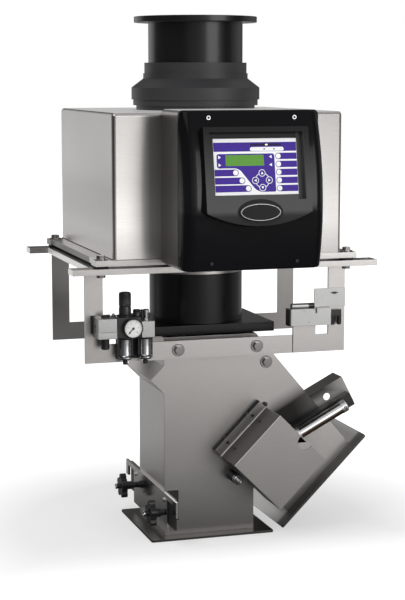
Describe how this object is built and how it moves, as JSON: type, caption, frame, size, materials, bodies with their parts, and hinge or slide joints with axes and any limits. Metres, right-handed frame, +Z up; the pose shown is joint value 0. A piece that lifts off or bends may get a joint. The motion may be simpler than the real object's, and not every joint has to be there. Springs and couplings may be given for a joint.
{
  "type": "gravity metal detector",
  "caption": "Gravity-fall metal detector: a coil head round a vertical product tube on a bar frame, over a two-way chute with an air-driven reject flap and a side hatch.",
  "frame": {"origin": "axis of the product tube at the underside of the accept flange", "axes": "+Z up along the product tube, -Y towards the control panel, +X towards the reject leg"},
  "size_m": [0.6729, 0.6618, 1.099],
  "materials": {
    "tube_plastic": "smooth black",
    "collar_plastic": "dull black",
    "stainless": "brushed",
    "former_plastic": "smooth",
    "copper": "varnished copper wire",
    "bezel_gloss": "gloss black",
    "board_green": "solder mask",
    "rubber": "dull black",
    "display": "backlit green",
    "panel_print": "printed indigo",
    "key_white": "satin",
    "black_steel": "satin black",
    "black_plastic": "satin black",
    "rod_chrome": "ground and plated",
    "cylinder_steel": "turned",
    "air_alloy": "die cast",
    "bowl_plastic": "smoked",
    "gauge_case": "satin black with a white dial",
    "needle_black": "black"
  },
  "bodies": {
    "machine": {"feed_tube": "tube_plastic", "tube_foot": "tube_plastic", "upper_collar": "collar_plastic", "head_shell": "stainless", "head_base": "stainless", "housing_shell": "stainless", "upper_frame": "stainless", "lower_frame": "stainless", "front_hanger_left": "stainless", "front_hanger_right": "stainless", "rear_hanger": "stainless", "chute_supports": "stainless", "chute_side_plates": "stainless", "chute_left_wall": "stainless", "chute_right_wall": "stainless", "chute_divider": "stainless", "accept_flange": "stainless", "reject_flange": "stainless", "hatch_plate": "stainless", "cylinder_bracket": "stainless", "guard_box": "stainless", "hex_bolts": "stainless", "bezel_screws": "stainless", "coil_former": "former_plastic", "flap_bushes": "former_plastic", "detector_coils": "copper", "bezel": "bezel_gloss", "circuit_board": "board_green", "bezel_gasket": "rubber", "isolation_pads": "rubber", "guard_packer": "rubber", "display_module": "display", "keypad_panel": "panel_print", "latch_brackets": "black_steel", "cylinder_rail": "black_steel", "flap_sensor": "black_plastic", "air_cylinder": "cylinder_steel", "air_unit": "air_alloy", "valve_block": "air_alloy", "filter_bowls": "bowl_plastic", "pressure_gauge": "gauge_case"},
    "flap_and_crank": {"flap": "stainless", "crank": "stainless"},
    "rod": {"piston_rod": "rod_chrome"},
    "front_knob": {"front_star_knob": "black_plastic"},
    "rear_knob": {"rear_star_knob": "black_plastic"},
    "pressure_knob": {"regulator_knob": "black_plastic"},
    "needle": {"gauge_needle": "needle_black"},
    "round_key_1_cap": {"round_key_1": "key_white"},
    "round_key_2_cap": {"round_key_2": "key_white"},
    "round_key_3_cap": {"round_key_3": "key_white"},
    "side_key_1_cap": {"side_key_1": "key_white"},
    "side_key_2_cap": {"side_key_2": "key_white"},
    "side_key_3_cap": {"side_key_3": "key_white"},
    "side_key_4_cap": {"side_key_4": "key_white"},
    "side_key_5_cap": {"side_key_5": "key_white"},
    "up_key_cap": {"up_key": "key_white"},
    "left_key_cap": {"left_key": "key_white"},
    "right_key_cap": {"right_key": "key_white"},
    "down_key_cap": {"down_key": "key_white"}
  },
  "joints": [
    {"name": "flap_swing", "type": "hinge", "parent": "machine", "child": "flap_and_crank", "pos_m": [0.105, 0, 0.125], "axis": [0, -1, 0], "range_deg": [0, 45]},
    {"name": "rod_slide", "type": "slide", "parent": "machine", "child": "rod", "axis": [-0.887, 0, -0.4617], "range_m": [0, 0.0328]},
    {"name": "front_knob_turn", "type": "hinge", "parent": "machine", "child": "front_knob", "pos_m": [-0.105, -0.12, 0.062], "axis": [1, 0, 0], "continuous": true},
    {"name": "rear_knob_turn", "type": "hinge", "parent": "machine", "child": "rear_knob", "pos_m": [-0.105, 0.12, 0.062], "axis": [1, 0, 0], "continuous": true},
    {"name": "regulator_turn", "type": "hinge", "parent": "machine", "child": "pressure_knob", "pos_m": [-0.205, -0.1815, 0.5], "axis": [0, 0, 1], "range_deg": [-360, 360]},
    {"name": "needle_turn", "type": "hinge", "parent": "machine", "child": "needle", "pos_m": [-0.196, -0.214, 0.473], "axis": [0, 1, 0], "range_deg": [0, 270], "stiffness_Nm_per_rad": 0.0005, "springref_deg": -11.46},
    {"name": "round_key_1_press", "type": "slide", "parent": "machine", "child": "round_key_1_cap", "axis": [0, 0.9848, -0.1736], "range_m": [0, 0.0005], "stiffness_N_per_m": 500, "springref_m": -0.0005},
    {"name": "round_key_2_press", "type": "slide", "parent": "machine", "child": "round_key_2_cap", "axis": [0, 0.9848, -0.1736], "range_m": [0, 0.0005], "stiffness_N_per_m": 500, "springref_m": -0.0005},
    {"name": "round_key_3_press", "type": "slide", "parent": "machine", "child": "round_key_3_cap", "axis": [0, 0.9848, -0.1736], "range_m": [0, 0.0005], "stiffness_N_per_m": 500, "springref_m": -0.0005},
    {"name": "side_key_1_press", "type": "slide", "parent": "machine", "child": "side_key_1_cap", "axis": [0, 0.9848, -0.1736], "range_m": [0, 0.0005], "stiffness_N_per_m": 500, "springref_m": -0.0005},
    {"name": "side_key_2_press", "type": "slide", "parent": "machine", "child": "side_key_2_cap", "axis": [0, 0.9848, -0.1736], "range_m": [0, 0.0005], "stiffness_N_per_m": 500, "springref_m": -0.0005},
    {"name": "side_key_3_press", "type": "slide", "parent": "machine", "child": "side_key_3_cap", "axis": [0, 0.9848, -0.1736], "range_m": [0, 0.0005], "stiffness_N_per_m": 500, "springref_m": -0.0005},
    {"name": "side_key_4_press", "type": "slide", "parent": "machine", "child": "side_key_4_cap", "axis": [0, 0.9848, -0.1736], "range_m": [0, 0.0005], "stiffness_N_per_m": 500, "springref_m": -0.0005},
    {"name": "side_key_5_press", "type": "slide", "parent": "machine", "child": "side_key_5_cap", "axis": [0, 0.9848, -0.1736], "range_m": [0, 0.0005], "stiffness_N_per_m": 500, "springref_m": -0.0005},
    {"name": "up_key_press", "type": "slide", "parent": "machine", "child": "up_key_cap", "axis": [0, 0.9848, -0.1736], "range_m": [0, 0.0005], "stiffness_N_per_m": 500, "springref_m": -0.0005},
    {"name": "left_key_press", "type": "slide", "parent": "machine", "child": "left_key_cap", "axis": [0, 0.9848, -0.1736], "range_m": [0, 0.0005], "stiffness_N_per_m": 500, "springref_m": -0.0005},
    {"name": "right_key_press", "type": "slide", "parent": "machine", "child": "right_key_cap", "axis": [0, 0.9848, -0.1736], "range_m": [0, 0.0005], "stiffness_N_per_m": 500, "springref_m": -0.0005},
    {"name": "down_key_press", "type": "slide", "parent": "machine", "child": "down_key_cap", "axis": [0, 0.9848, -0.1736], "range_m": [0, 0.0005], "stiffness_N_per_m": 500, "springref_m": -0.0005}
  ],
  "couplings": [
    {"joint": "rod_slide", "follows": "flap_swing", "m_per_rad": 0.04163}
  ]
}
